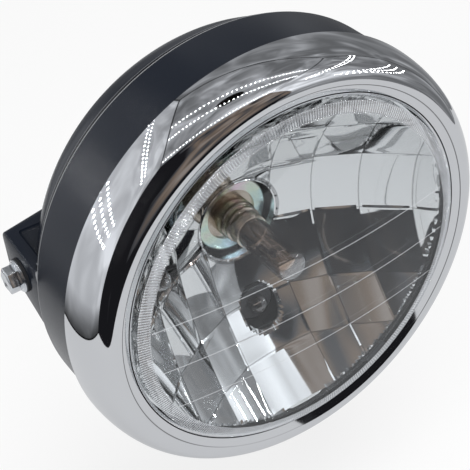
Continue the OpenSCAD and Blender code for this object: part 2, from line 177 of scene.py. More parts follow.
# %% Chrome rim
LIP_R, CREST_R, RIM_R = 78.7, 86.2, 96.5
CREST_Y, RIM_REAR = -1.2, 20.4
DEPTH = RIM_REAR - CREST_Y
roll = [(CREST_R + (RIM_R - CREST_R) * math.sin(a), RIM_REAR - DEPTH * math.cos(a))
        for a in (math.radians(90 * i / 28) for i in range(29))]
inner_roll = [(CREST_R + (RIM_R - CREST_R - 1) * math.sin(a), RIM_REAR - (DEPTH - 1) * math.cos(a))
              for a in (math.radians(90 * i / 14) for i in range(14, 0, -1))]
lip = [(LIP_R + 0.1, 1.4), (LIP_R, 1.3), (LIP_R + 0.15, 1.2), (LIP_R + 0.4, 1.1), (79.5, 0.94),
       (84.0, -0.96), (84.3, -1.08), (84.6, -1.19), (85.2, -1.23), (85.8, -1.25)]
rim = turn("chrome_bezel", lip + roll + [(RIM_R - 0.2, RIM_REAR), (RIM_R - 1, RIM_REAR)]
           + inner_roll + [(85.9, 0.6), (79.7, 0.6), (79.7, 1.3)], steps=256, smooth=38)
print("chrome_bezel", len(rim.data.polygons), "faces")

# %% [markdown]
# The glass is one moulding: a dome, a step down to a flat flange under the rim's lip, and an
# even thickness. Its ribs and flutes are shallow, so they come later, with its finish.

# %% Domed glass
LENS_R, RISE, GLASS_T = 78.0, 7.6, 3.0
FLANGE_Y, STEP, GLASS_OUT_R = 1.6, 3.1, 84
GLASS_EDGE = FLANGE_Y - STEP
DOME_R = (LENS_R ** 2 + RISE ** 2) / (2 * RISE)


def dome_y(r, back=0.0):
    """Depth of the dome at a radius: its front, or a surface some way behind it."""
    return GLASS_EDGE - RISE + DOME_R - math.sqrt(DOME_R ** 2 - r * r) + back


front = [(77.6 * i / 30, dome_y(77.6 * i / 30)) for i in range(31)]
rear = [(75 * i / 24, dome_y(75 * i / 24, GLASS_T)) for i in range(24, -1, -1)]
glass = turn("domed_glass", front + [(77.9, GLASS_EDGE + 0.15), (LENS_R, GLASS_EDGE + 0.5),
             (LENS_R, FLANGE_Y), (GLASS_OUT_R, FLANGE_Y), (GLASS_OUT_R, FLANGE_Y + GLASS_T),
             (77, FLANGE_Y + GLASS_T)] + rear, steps=256, closed=False)
print("domed_glass", len(glass.data.polygons), "faces")

# %% [markdown]
# The mirror is a deep bowl cut into facets, each with a curve of its own, so that it spreads
# the light. A level grid is bent to the bowl, and every facet between two grid lines swells a
# little towards the glass. The creases between the swellings are what the eye sees. Round the
# small lower hole, the bowl's edge is drawn back into a tube.

# %% Facet lines across the mirror
MIRROR_R, MIRROR_DEPTH, HOLE_R = 77.0, 50.0, 19.0
FOCUS4 = MIRROR_R ** 2 / (MIRROR_DEPTH - FLANGE_Y - GLASS_T)
POS_Z, POS_R, COLLAR_REAR = -42.0, 9.0, 46.5
columns = [-77.5, -69, -51.7, -34.5, -17.2, 17.2, 34.5, 51.7, 69, 77.5]
rows = [-77.5, -58, -38, -8, 22.5, 43, 60, 77.5]
CELL, TILT = 1.0, 0.16
SWELL_Z, SWELL_HIGH, SWELL_LOW, SWELL_UP = -8, 0.42, 1.15, 0.34
WAVES = ((43, 0.34, 1.0), (60, 0.25, 2.6), (22.5, 0.16, 0.3))


def cuts(lines, cell):
    """Grid places between facet lines, an equal number of cells in each facet."""
    out = [lines[0]]
    for low, high in zip(lines, lines[1:]):
        n = max(2, round((high - low) / cell))
        out += [low + (high - low) * (i + 1) / n for i in range(n)]
    return out


def facet(value, lines):
    """Which facet a place is in, and how far across it, from -1 to 1."""
    k = max(i for i in range(len(lines) - 1) if lines[i] <= value + 1e-6 or i == 0)
    low, high = lines[k], lines[k + 1]
    return k, (2 * value - low - high) / (high - low)


def mirror_y(r):
    """Depth of the smooth bowl at a radius: a paraboloid."""
    return MIRROR_DEPTH - r * r / FOCUS4


xs, zs = cuts(columns, CELL), cuts(rows, CELL)
print("mirror grid", len(xs), "by", len(zs))

# %% Faceted mirror
put_down()
bpy.ops.mesh.primitive_grid_add(x_subdivisions=len(xs) - 1, y_subdivisions=len(zs) - 1, size=2,
                                rotation=(math.pi / 2, 0, 0))
bpy.ops.object.transform_apply(location=True, rotation=True, scale=True)
bowl = bpy.context.object
dice = random.Random(7)
tilt = {(i, j): (dice.uniform(-TILT, TILT), dice.uniform(-TILT, TILT))
        for i in range(len(columns)) for j in range(len(rows))}
mesh = bmesh.new()
mesh.from_mesh(bowl.data)
gone = []
for f in mesh.faces:
    c = f.calc_center_median()
    i = round((c.x + 1) / 2 * (len(xs) - 1) - 0.5)
    j = round((c.z + 1) / 2 * (len(zs) - 1) - 0.5)
    x, z = (xs[i] + xs[i + 1]) / 2, (zs[j] + zs[j + 1]) / 2
    r, q = math.hypot(x, z), math.hypot(x, z - POS_Z)
    if r > MIRROR_R or r < HOLE_R or q < POS_R:
        gone.append(f)
for v in mesh.verts:
    i = round((v.co.x + 1) / 2 * (len(xs) - 1))
    j = round((v.co.z + 1) / 2 * (len(zs) - 1))
    v.co = Vector((xs[i], 0, zs[j]))
bmesh.ops.delete(mesh, geom=gone, context="FACES")


def swell(x, z):
    """The bowl with its facets: how deep the mirror is at a place."""
    i, u = facet(x, columns)
    j, v = facet(z, rows)
    a, b = tilt[i, j]
    across = SWELL_HIGH if z > SWELL_Z else SWELL_LOW
    depth = mirror_y(math.hypot(x, z)) - across * (1 - u * u) - SWELL_UP * (1 - v * v)
    depth += a * u + b * v
    for level, height, phase in WAVES:
        wave = z - level - 1.3 * math.sin(x / 8 + phase)
        depth -= height * (0.6 + 0.4 * math.sin(x / 12 + phase)) * math.exp(-(wave / 1.7) ** 2)
    return depth


for v in mesh.verts:
    x, z = v.co.x, v.co.z
    if v.is_boundary:
        r, q = math.hypot(x, z), math.hypot(x, z - POS_Z)
        if q < POS_R + 3:
            x, z = x * POS_R / q, POS_Z + (z - POS_Z) * POS_R / q
        else:
            edge = HOLE_R if r < HOLE_R + 4 else MIRROR_R
            x, z = x * edge / r, z * edge / r
    v.co = place(x, swell(v.co.x, v.co.z) if not v.is_boundary else mirror_y(math.hypot(x, z)), z)
small_hole = place(0, COLLAR_REAR, POS_Z)
rim_edges = [e for e in mesh.edges if e.is_boundary and all(
    math.hypot(v.co.x, v.co.z - small_hole.z) < (POS_R + 0.5) * MM for v in e.verts)]
for g in bmesh.ops.extrude_edge_only(mesh, edges=rim_edges)["geom"]:
    if isinstance(g, bmesh.types.BMVert):
        g.co.y = small_hole.y
mesh.to_mesh(bowl.data)
mesh.free()
take(bowl)
bpy.ops.object.mode_set(mode="EDIT")
bpy.ops.mesh.select_all(action="SELECT")
bpy.ops.mesh.normals_make_consistent(inside=False)
bpy.ops.object.mode_set(mode="OBJECT")
bowl = settle("mirror_facets", 4)
print("mirror_facets", len(bowl.data.polygons), "faces")

# %% [markdown]
# The bowl also has a back: a second skin behind the facets, open round the small hole, with
# a neck for the bulb plate, a collar for the position bulb and a flange for the glass.

# %% The bowl's collars and flange
skin = turn("outside", [(22, 47.2)] + [(r + 1.1, mirror_y(r) + 2.5) for r in range(24, 78, 4)]
            + [(79.9, 7.1)], steps=128, closed=False)
drop_faces(skin, lambda f: math.hypot(
    f.calc_center_median().x, f.calc_center_median().z - small_hole.z) < (POS_R + 2) * MM)
beads = [
    turn("neck", [(HOLE_R + 0.9, 46.6), (HOLE_R + 0.5, 46.35), (HOLE_R, 46.6), (HOLE_R, 52),
                  (HOLE_R + 3, 52), (HOLE_R + 3, 48.6)], steps=128),
    turn("collar", [(POS_R + 0.2, 43.2), (POS_R + 0.2, COLLAR_REAR), (POS_R + 2.4, COLLAR_REAR),
                    (POS_R + 2.4, 43.2)], steps=96, centre=(0, POS_Z)),
    turn("flange", [(76.8, 4.7), (84, 4.7), (84, 7.1), (79.9, 7.1), (77.2, 6.2)], steps=192)]
mirror = join("mirror_bowl", bowl, skin, *beads, smooth=0)
take(mirror)
bpy.ops.object.shade_smooth_by_angle(angle=math.radians(5))
print("mirror_bowl", len(mirror.data.polygons), "faces")

# %% [markdown]
# Boxes and round bars serve as cutters for the shell, and bars also become bolts and wires.

# %% Cutters and bars
def box_of(low, high, name="cutter"):
    """A box between two corners."""
    put_down()
    middle = (low + high) / 2
    bpy.ops.mesh.primitive_cube_add(size=1, location=middle)
    cutter = bpy.context.object
    cutter.scale = [abs(high[k] - low[k]) for k in range(3)]
    return settle(name, 0)


def rod(a, b, r, sides=48):
    """A round bar from one place to another, square to an axis of the frame."""
    put_down()
    along = b - a
    bpy.ops.mesh.primitive_cylinder_add(vertices=sides, radius=r * MM, depth=along.length,
                                        location=(a + b) / 2,
                                        rotation=along.to_track_quat("Z", "Y").to_euler())
    return settle("bar", 0)


def boolean(piece, tool, operation):
    """Cuts or joins a piece with a tool, and removes the tool."""
    apply(piece, "BOOLEAN", object=tool, operation=operation, solver="EXACT")
    bpy.data.objects.remove(tool)


print("boxes and bars can cut and join")

# %% [markdown]
# The shell behind the rim is moulded in one piece: a short band, a step, and a rounded bowl
# with a flat back. Its two lugs grow out of the sides. Turning gives the first, and a rounded
# block is joined on with a boolean, as the mould does it.

# %% Black shell
BAND_R, BAND_FRONT, BAND_REAR, BOWL_START, WALL = 94.5, 14.0, 48.0, 50.0, 2.8
BOWL_R, BOWL_D, FLAT_R = 90.0, 48.0, 38.0
HARNESS_Z, HARNESS_R = -16, 11
SCREW_Y, SCREW_R = 17, 2.9
end = math.degrees(math.acos(FLAT_R / BOWL_R))
flat_y = BOWL_START + BOWL_D * math.sin(math.radians(end))
outer = ([(BAND_R, BAND_FRONT), (BAND_R, BAND_REAR - 1.3)]
         + arc(BAND_R - 1.2, BAND_REAR - 1.2, 1.2, 1.2, 15, 90, 5)
         + [(92.9, BAND_REAR + 0.1), (92.7, BOWL_START)]
         + arc(91.2, BOWL_START + 0.4, 1.5, 1.4, 15, 90, 5)
         + arc(0, BOWL_START, BOWL_R, BOWL_D, 3, end, 24) + [(0, flat_y)])
inner = ([(0, flat_y - WALL)] + arc(0, BOWL_START - WALL, BOWL_R - WALL, BOWL_D, end, 0, 16)
         + [(BAND_R - WALL, BAND_REAR - WALL), (BAND_R - WALL, BAND_FRONT), (BAND_R, BAND_FRONT)])
print("shell section has", len(outer) + len(inner), "points")

# %% [markdown]
# A lug starts as a block. Its corners are set by height, its long rear edges are rounded, and
# two boxes trim it to the cheek's plane and to the band's rear edge.

# %% Side lugs
SLANT = math.radians(11)
LUG_X, LUG_FRONT, LUG_REAR, LUG_TOP = 93.0, 47.4, 77.0, 25.0


def lug(side):
    """One side lug: a block tapered to the rear, slanted towards the bowl, and rounded."""
    put_down()
    bpy.ops.mesh.primitive_cube_add(size=1, location=place(side * 75, 61, 0))
    block = bpy.context.object
    block.scale = (44 * MM, 30 * MM, 30 * MM)
    bpy.ops.object.transform_apply(location=True, rotation=True, scale=True)
    heights = {(0, 1): LUG_TOP - 4.4, (1, 1): LUG_TOP, (1, 0): BOLT_Z - 6.5, (0, 0): BOLT_Z - 22}
    middle = place(0, 61, 0)
    for v in block.data.vertices:
        back, high = v.co.y > middle.y, v.co.z > middle.z
        x, y = v.co.x / MM, LUG_REAR if back else LUG_FRONT - 3
        v.co = place(x, y + (LUG_X - abs(x)) * math.tan(SLANT), heights[back, high])
    bpy.ops.object.mode_set(mode="EDIT")
    mesh = bmesh.from_edit_mesh(block.data)
    mesh.normal_update()
    for e in mesh.edges:
        a, b = e.verts
        level = abs(a.co.z - b.co.z) < 0.01 * MM and abs(a.co.x - b.co.x) > 20 * MM
        e.select_set(level and (a.co.y + b.co.y) / 2 > middle.y)
    bmesh.update_edit_mesh(block.data)
    bpy.ops.mesh.bevel(offset=4.6 * MM, segments=8, affect="EDGES")
    bpy.ops.object.mode_set(mode="OBJECT")
    for near, far in (((LUG_X, 30, -40), (110, 110, 60)), ((40, 30, -40), (110, LUG_FRONT, 60))):
        cutter = box_of(*(place(side * x, y, z) for x, y, z in (near, far)))
        boolean(block, cutter, "DIFFERENCE")
    soften(block, 0.8, 3)
    return block


def hollow(side):
    """The shallow hollow behind a lug's cheek: a wedge that deepens towards the band."""
    put_down()
    low, high = place(side * 48, 51.6, 18), place(side * (LUG_X - 5), LUG_REAR - 5, 34)
    tool = box_of(low, high, "hollow")
    top = (low.z + high.z) / 2
    for v in tool.data.vertices:
        if v.co.z < top:
            v.co.z = place(0, 0, 23.4 if v.co.y > (low.y + high.y) / 2 else 16.4).z
    soften(tool, 1.6, 4)
    return tool


print("lugs reach from depth", LUG_FRONT, "to", LUG_REAR)

# %% Shell with its lugs and holes
shell = turn("black_shell", inner + outer[1:], steps=224, closed=False)
for side in (-1, 1):
    ear = lug(side)
    core = turn("core", [(0, BAND_FRONT - 1), (91.6, BAND_FRONT - 1), (91.6, BAND_REAR - WALL)]
                + arc(0, BOWL_START - WALL, 87.1, BOWL_D, 0, end, 12) + [(0, flat_y - WALL)],
                steps=96, closed=False)
    boolean(ear, hollow(side), "DIFFERENCE")
    boolean(ear, core, "DIFFERENCE")
    boolean(shell, ear, "UNION")
harness_hole = rod(place(0, 80, HARNESS_Z), place(0, 99, HARNESS_Z), HARNESS_R)
screw_hole = rod(place(0, SCREW_Y, -97), place(0, SCREW_Y, -88), SCREW_R)
for tool in (harness_hole, screw_hole):
    boolean(shell, tool, "DIFFERENCE")
take(shell)
shell = settle("black_shell", 32)
print("black_shell", len(shell.data.polygons), "faces")

# %% [markdown]
# The side bolts are flange bolts: a hexagon with its corners turned away, on a round flange
# that slopes a little. The same steps make both, each on its own side.

# %% Flange bolts
HEX_FLATS, HEAD_D, FLANGE_R, SHANK_R, WASHER_T = 10, 5.2, 7.1, 3, 1


def flange_bolt(side):
    """One bolt: head, sloping flange and shank, out from a lug's face."""
    def out(d):
        return place(side * (LUG_X + WASHER_T + d), BOLT_Y, BOLT_Z)

    put_down()
    corner_r = HEX_FLATS / math.cos(math.pi / 6) / 2
    bpy.ops.mesh.primitive_cylinder_add(vertices=6, radius=corner_r * MM, depth=HEAD_D * MM,
                                        location=out(3.3), rotation=(0, side * math.pi / 2, 0))
    head = bpy.context.object
    bpy.ops.object.transform_apply(location=True, rotation=True, scale=True)
    bpy.ops.object.mode_set(mode="EDIT")
    mesh = bmesh.from_edit_mesh(head.data)
    top = max(mesh.faces, key=lambda f: side * f.calc_center_median().x)
    for f in mesh.faces:
        f.select_set(f == top)
    bmesh.update_edit_mesh(head.data)
    bpy.ops.mesh.inset(thickness=1.0 * MM)
    bpy.ops.transform.translate(value=(side * 0.45 * MM, 0, 0))
    bpy.ops.mesh.inset(thickness=1.3 * MM)
    bpy.ops.transform.translate(value=(-side * 0.5 * MM, 0, 0))
    bpy.ops.object.mode_set(mode="OBJECT")
    head = settle("head", 0)
    soften(head, 0.25, 2, angle=25)
    bars = [rod(out(-16), out(0.2), SHANK_R), rod(out(0), out(1.0), FLANGE_R, sides=64),
            rod(out(0.9), out(1.5), FLANGE_R - 0.6, sides=64)]
    for bar in bars:
        soften(bar, 0.22, 2)
    return join("left_flange_bolt" if side < 0 else "right_flange_bolt", head, *bars, smooth=30)


bolts = [flange_bolt(-1), flange_bolt(1)]
print("bolts", [len(b.data.polygons) for b in bolts])

# %% [markdown]
# The bulb is a halogen one: a metal cap with stepped rings, a clear tube with a rounded tip,
# and in it two coils of wire on their posts, one over a small shield.

# %% Bulb cap and glass
cap = turn("bulb_sleeve", [(6.9, 36), (7.6, 36), (7.7, 36.3), (7.7, 41.6), (8.4, 42.4), (8.5, 42.8),
           (8.5, 45), (8.4, 45.5), (9.0, 46.2), (9.1, 46.6), (9.1, 53.2), (18.8, 53.2), (19, 53.4),
           (19, 54.0), (18.8, 54.2), (14, 54.2), (13.4, 62.2), (12.6, 63.2), (6.9, 63.2)], steps=96)
TUBE_R, TUBE_REAR = 7.2, 43.9
tube = turn("bulb_tube", [(0, 5)] + arc(TUBE_R - 3.6, 8.6, 3.6, 3.6, -90, 0, 10)
            + [(TUBE_R, TUBE_REAR), (TUBE_R - 0.8, TUBE_REAR), (TUBE_R - 0.8, 8.8)]
            + arc(TUBE_R - 3.8, 8.8, 3.0, 2.8, 0, -90, 6) + [(0, 6)], steps=72, closed=False)
print("bulb", len(cap.data.polygons), len(tube.data.polygons))

# %% [markdown]
# Each coil of the bulb is one small ring of six corners that Screw carries round and along.
# Posts of bent wire hold the coils, and all of it becomes one piece.

# %% Coils and posts
COIL_R, GAUGE = 0.95, 0.16


def coil(name, y0, turns, pitch, z=0.0):
    """A coil along the lamp's axis: one small ring, carried round and along by Screw."""
    put_down()
    bpy.ops.mesh.primitive_circle_add(vertices=6, radius=GAUGE * MM,
                                      location=place(COIL_R, y0, z))
    ring = bpy.context.object
    bpy.ops.object.transform_apply(location=True, rotation=True, scale=True)
    pivot = bpy.data.objects.new("pivot", None)
    bpy.context.scene.collection.objects.link(pivot)
    pivot.location = place(0, y0, z)
    apply(ring, "SCREW", object=pivot, axis="Y", angle=2 * math.pi * turns, steps=14 * turns,
          render_steps=14 * turns, screw_offset=pitch * turns * MM, use_merge_vertices=False)
    bpy.data.objects.remove(pivot)
    return settle(name)


def wire(points, r):
    """A bent wire through some places: a thin bar for each straight part."""
    return [rod(place(*a), place(*b), r, sides=10) for a, b in zip(points, points[1:])]


parts = [coil("dip_coil", 11.5, 9, 0.62, z=0.6), coil("main_coil", 23, 9, 0.6)]
parts += wire([(-3.6, 43, -2), (-3.6, 11.4, 0.6), (-0.9, 11.4, 0.6)], 0.33)
parts += wire([(3.6, 43, -2), (3.6, 17.2, 0.6), (0.9, 17.2, 0.6)], 0.33)
parts += wire([(0.9, 23, 0), (3.4, 22.4, 0)], 0.25) + wire([(0.9, 28.5, 0), (0, 43, 2.4)], 0.33)
coils = join("bulb_coils", *parts, smooth=40)
print("bulb_coils", len(coils.data.polygons), "faces")

# %% [markdown]
# A smaller bulb sits in the mirror's lower hole. Only the tip of its glass looks out.

# %% Position bulb
small = turn("position_tube", [(0, 33.2)] + arc(0, 37.9, 4.6, 4.6, -85, 0, 10)
             + [(4.6, 44.5), (3.9, 44.5), (3.9, 38.2)] + arc(0, 38.0, 3.9, 3.9, 0, -85, 8)
             + [(0, 34.1)], steps=48, closed=False, centre=(0, POS_Z))
print("position_tube", len(small.data.polygons), "faces")

# %% [markdown]
# Nothing on the lamp moves, so every piece rides on the root. Each one stands in for a node of
# the frame. The nodes that no piece stands in for stay visible and get a finish of their own.

# %% Who rides where, and what each piece stands for
stand_ins = {rim: "rim", glass: "lens", mirror: "reflector", shell: "bucket", bolts[0]: "left_bolt",
             bolts[1]: "right_bolt", cap: "bulb_cap", tube: "bulb_glass", coils: "bulb_filaments",
             small: "position_glass"}
for piece, node in stand_ins.items():
    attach(piece, "root")
    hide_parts(node)
print(len(stand_ins), "pieces dressed")

# %% [markdown]
# Materials are written as sums. A Reading is a value on its way through a material's nodes,
# and + - * / between readings add the Math nodes, so each finish reads like a formula.

# %% A small language for materials
class Reading:
    """A value in a material: arithmetic on it adds Math nodes."""

    def __init__(self, finish, socket):
        self.finish, self.socket = finish, socket

    def math(self, operation, *others, first=None):
        node = self.finish.tree.nodes.new("ShaderNodeMath")
        node.operation = operation
        for i, value in enumerate(([first] if first is not None else []) + [self] + list(others)):
            self.finish.feed(node.inputs[i], value)
        return Reading(self.finish, node.outputs[0])

    def __add__(self, other): return self.math("ADD", other)
    def __radd__(self, other): return self.math("ADD", other)
    def __sub__(self, other): return self.math("SUBTRACT", other)
    def __rsub__(self, other): return self.math("SUBTRACT", first=other)
    def __mul__(self, other): return self.math("MULTIPLY", other)
    def __rmul__(self, other): return self.math("MULTIPLY", other)
    def __truediv__(self, other): return self.math("DIVIDE", other)
    def __rtruediv__(self, other): return self.math("DIVIDE", first=other)
    def __pow__(self, other): return self.math("POWER", other)
    def __neg__(self): return self.math("MULTIPLY", -1.0)
    def size(self): return self.math("ABSOLUTE")
    def sine(self): return self.math("SINE")
    def root(self): return self.math("SQRT")
    def least(self, other): return self.math("MINIMUM", other)

    def above(self, level, soft):
        """0 below a level and 1 above it, with a soft step between."""
        return ((self - level) / soft + 0.5).least(1.0).math("MAXIMUM", 0.0)

    def below(self, level, soft):
        """The same step the other way round."""
        return 1 - self.above(level, soft)

    def near(self, level, half, soft):
        """1 close to a level and 0 away from it: a line or a band with soft edges."""
        return (self - level).size().below(half, soft)


print("readings can be added, multiplied and compared")

# %% [markdown]
# A Finish is one material. It adds nodes by their kind, and hands each one's output back as a
# Reading. So a shader, a noise and a place on the lamp can all stand in one sum.

# %% Finishes
class Finish:
    """One material, with a method that adds any node."""

    def __init__(self, name):
        self.material = bpy.data.materials.new(name)
        self.material.use_nodes = True
        self.tree = self.material.node_tree
        self.tree.nodes.clear()
        self.out = self.tree.nodes.new("ShaderNodeOutputMaterial")

    def feed(self, socket, value):
        """Links a reading to a socket, or sets a plain value on the socket itself."""
        if isinstance(value, Reading):
            self.tree.links.new(value.socket, socket)
        elif value is not None:
            socket.default_value = value

    def node(self, kind, settings=None, result=0, **values):
        """Any node: its settings, its inputs by name, and the output that is read."""
        node = self.tree.nodes.new("ShaderNode" + kind)
        for key, value in (settings or {}).items():
            if key == "stops":
                ramp = node.color_ramp.elements
                while len(ramp) < len(value):
                    ramp.new(0.5)
                for stop, (at, colour) in zip(ramp, value):
                    stop.position, stop.color = at, colour
            else:
                setattr(node, key, value)
        for key, value in values.items():
            self.feed(node.inputs[key.replace("_", " ")], value)
        return Reading(self, node.outputs[result])

    def surface(self, shader):
        self.tree.links.new(shader.socket, self.out.inputs["Surface"])
        return self.material

    def solid(self, **values):
        """The whole surface as one Principled shader."""
        return self.surface(self.node("BsdfPrincipled", **values))

    def where(self, lamp=True):
        """Place as three readings: millimetres on the lamp's axis, or plain metres."""
        spot = self.node("TexCoord", result="Object")
        xyz = self.tree.nodes.new("ShaderNodeSeparateXYZ")
        self.feed(xyz.inputs[0], spot)
        x, y, z = (Reading(self, xyz.outputs[i]) for i in range(3))
        return (spot, x * 1000, y * 1000 + BOLT_Y, z * 1000 + BOLT_Z) if lamp else (spot, x, y, z)

    def blend(self, factor, a, b):
        """Two shaders mixed by a reading."""
        node = self.tree.nodes.new("ShaderNodeMixShader")
        for i, value in enumerate((factor, a, b)):
            self.feed(node.inputs[i], value)
        return Reading(self, node.outputs[0])

    def noise(self, spot, scale, detail=3.0, rough=0.5):
        return self.node("TexNoise", Vector=spot, Scale=scale, Detail=detail, Roughness=rough)

    def mix(self, factor, a, b):
        node = self.tree.nodes.new("ShaderNodeMix")
        node.data_type = "RGBA"
        self.feed(node.inputs["Factor"], factor)
        self.feed(node.inputs[6], a)
        self.feed(node.inputs[7], b)
        return Reading(self, node.outputs[2])

    def bump(self, height, depth_mm):
        return self.node("Bump", Height=height, Distance=depth_mm * MM, Strength=1.0)


def grey(v):
    return (v, v, v, 1.0)


def dress(material, *names):
    """Gives a material to pieces and to the frame's own nodes."""
    for name in names:
        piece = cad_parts[name] if isinstance(name, str) else name
        piece.data.materials.clear()
        piece.data.materials.append(material)
        print(piece.name, "wears", material.name)


print("finishes can mix colours and blend shaders")

# %% [markdown]
# Chrome is a nearly perfect mirror, so most of its look comes from what stands round it. Its own
# part is small: soft patches, and a fine dark line of painted shade where the lip meets its crest,
# fainter at the bottom.

# %% Chrome
f = Finish("polished_chrome")
spot, x, y, z = f.where()
r = (x * x + z * z).root()
# The dark line is painted shade in place of a groove at the lip's crest, on the front only and
# fainter at the bottom.
line = r.near(83.7, 0.18, 0.2) * y.below(0, 0.2) * (z.above(-62, 24) * 0.75 + 0.25)
cloud = f.noise(spot, 18, 4.0, 0.6)
tone = f.mix(cloud, (0.74, 0.75, 0.765, 1), (0.70, 0.71, 0.73, 1))
tone = f.mix(line * 0.8, tone, grey(0.04))
dress(f.solid(Base_Color=tone, Metallic=1.0, Roughness=cloud * 0.015 + 0.025), rim)

# %% [markdown]
# The mirror is plastic with a thin bright coat. The creases between the facets and a ring round the
# bulb's hole are darkened as painted shade, and so is the inside of the small hole.

# %% Mirror coat
f = Finish("mirror_coat")
spot, x, y, z = f.where()
# Painted shade: the creases between the facets and a ring round the bulb's hole are darkened.
crease_shade = 0.0
for reading, lines in ((x, columns[1:-1]), (z, rows[1:-1])):
    for line in lines:
        crease_shade = reading.near(line, 0.22, 0.3) + crease_shade
crease_shade = crease_shade + (x * x + z * z).root().near(HOLE_R + 1.5, 0.6, 0.3)
cloud = f.noise(spot, 18, 3.0)
# Painted shade: inside the small hole, deeper than the bowl's face, the surface is painted dark.
hole = (x * x + (z - POS_Z) * (z - POS_Z)).root()
bowl_y = MIRROR_DEPTH - (x * x + z * z) / FOCUS4
hole_shade = hole.below(POS_R + 0.15, 0.1) * (y - bowl_y).above(0.8, 0.4)
tone = f.mix(cloud, (0.93, 0.93, 0.92, 1), (0.88, 0.88, 0.885, 1))
tone = f.mix(crease_shade.least(1.0) * 0.55, tone, grey(0.2))
tone = f.mix(hole_shade, tone, (0.10, 0.095, 0.09, 1))
dress(f.solid(Base_Color=tone, Metallic=1.0, Roughness=cloud * 0.02 + 0.025), mirror)

# %% [markdown]
# The other metals differ in colour, sheen and patches only, so one function makes them all.

# %% Zinc, steel, brass and wire
def metal(name, colour, other, roughness, bump=0.0, patch=18.0):
    """An unplated or plated metal: two tones in soft patches, and a roughness that wanders."""
    f, spread = Finish(name), 0.06
    spot, x, y, z = f.where()
    cloud = f.noise(spot, patch, 4.0, 0.6)
    fine = f.noise(spot, 600, 3.0, 0.6)
    tone = f.mix(cloud.above(0.5, 0.5), colour, other)
    rough = fine * spread + cloud * spread + (roughness - spread)
    normal = f.bump(fine, bump) if bump else None
    return f.solid(Base_Color=tone, Metallic=1.0, Roughness=rough, Normal=normal)


zinc = metal("bright_zinc", (0.80, 0.82, 0.84, 1), (0.70, 0.72, 0.75, 1), 0.16, bump=0.006)
steel = metal("bulb_steel", (0.74, 0.67, 0.58, 1), (0.50, 0.42, 0.35, 1), 0.24, patch=60)
spring = metal("spring_wire", (0.55, 0.56, 0.58, 1), (0.47, 0.48, 0.5, 1), 0.3)
brass = metal("turned_brass", (0.72, 0.56, 0.28, 1), (0.64, 0.49, 0.24, 1), 0.28)
tungsten = metal("coil_wire", (0.85, 0.83, 0.8, 1), (0.7, 0.68, 0.64, 1), 0.2)
dress(zinc, *bolts, "plate_screws", "rim_hook", "rim_screw", "rim_nut")
dress(steel, cap, "bulb_shield")
dress(spring, "bulb_spring", "rim_clips")
dress(brass, "left_insert", "right_insert", "bulb_blades")
dress(tungsten, coils, "position_filament")

# %% [markdown]
# The bulb plate has the rainbow sheen of passivated zinc: soft patches of blue, green and pink on a
# metal, with painted shade at its edge and round the bulb.

# %% Iridescent zinc
f = Finish("rainbow_zinc")
spot, x, y, z = f.where()
cloud = f.noise(spot, 42, 3.0, 0.55)
tone = f.node("ValToRGB", {"stops": [(0.3, (0.62, 0.68, 0.86, 1)), (0.42, (0.60, 0.82, 0.86, 1)),
              (0.54, (0.78, 0.88, 0.74, 1)), (0.68, (0.90, 0.72, 0.80, 1))]}, Fac=cloud)
# Painted shade: the plate is darkened at its edge and, a little less, round the bulb.
far = (x * x + z * z).root()
tone = f.mix(far.above(17.0, 0.9) + far.below(10.6, 1.6) * 0.7, tone, grey(0.03))
rainbow = f.solid(Base_Color=tone, Metallic=1.0, Roughness=cloud * 0.1 + 0.2)
dress(rainbow, "bulb_plate")

# %% [markdown]
# Moulded pieces are nearly black. Fine grain breaks their sheen. On the shell, painted highlights
# make the band's rear edge and the bowl's shoulder a little lighter than its faces, and painted
# shade darkens the groove between them.

# %% Black shell, rubber and plastic
def moulded(name, colour, roughness, grain, depth, shell=False):
    """A moulded dark surface. The shell's own edges catch light, and its groove is in shade."""
    f = Finish(name)
    spot, x, y, z = f.where()
    fine = f.noise(spot, grain, 3.0, 0.6)
    cloud = f.noise(spot, 25, 3.0, 0.5)
    tone = f.mix(cloud, colour, tuple(c * 1.35 for c in colour[:3]) + (1,))
    if shell:
        r = (x * x + z * z).root()
        # Painted highlights on the band's rear edge and the bowl's shoulder, and painted shade in
        # the groove between them.
        edge = y.near(BAND_REAR - 0.7, 0.5, 0.4) * r.above(92.4, 0.3) * r.below(95, 0.3)
        shoulder_highlight = y.near(BOWL_START + 1.2, 0.5, 0.7) * r.below(92.8, 0.2) * r.above(89.5, 0.3)
        groove = y.near(BAND_REAR + 1.3, 0.9, 0.3) * r.below(93.6, 0.2) * r.above(90, 0.3)
        tone = f.mix(groove * 0.9, tone, grey(0.002))
        tone = f.mix((edge + shoulder_highlight * 0.6).least(1.0), tone, (0.3, 0.305, 0.315, 1))
    return f.solid(Base_Color=tone, Roughness=cloud * 0.08 + (roughness - 0.04),
                   Specular_IOR_Level=0.35, Normal=f.bump(fine, depth))


dress(moulded("satin_black", (0.005, 0.0075, 0.0135, 1), 0.25, 1500, 0.012, shell=True), shell)
dress(moulded("soft_rubber", (0.018, 0.018, 0.02, 1), 0.7, 900, 0.03), "lens_seal", "bulb_boot",
      "left_washer", "right_washer", "harness_grommet")
dress(moulded("holder_plastic", (0.03, 0.03, 0.033, 1), 0.45, 1100, 0.015), "position_holder")


# %% [markdown]
# Thin clear glass shows two things: what is behind it, and a sheen that grows towards its
# edge. So the finish mixes a clear shader with a glossy one by Fresnel. The ribs and flutes
# are pressed into the glass, and a bump tilts the sheen over them. The ring of flutes is a
# little frosted too, and all these lines are on the front surface only.

# %% Clear glass
RING_FROM, RING_TO, FLUTES = 72.9, 77.75, 400
RIBS = (11.8, -9.8, -31.4)
MARK_LOW, MARK_TOP = 65.6, 69.6


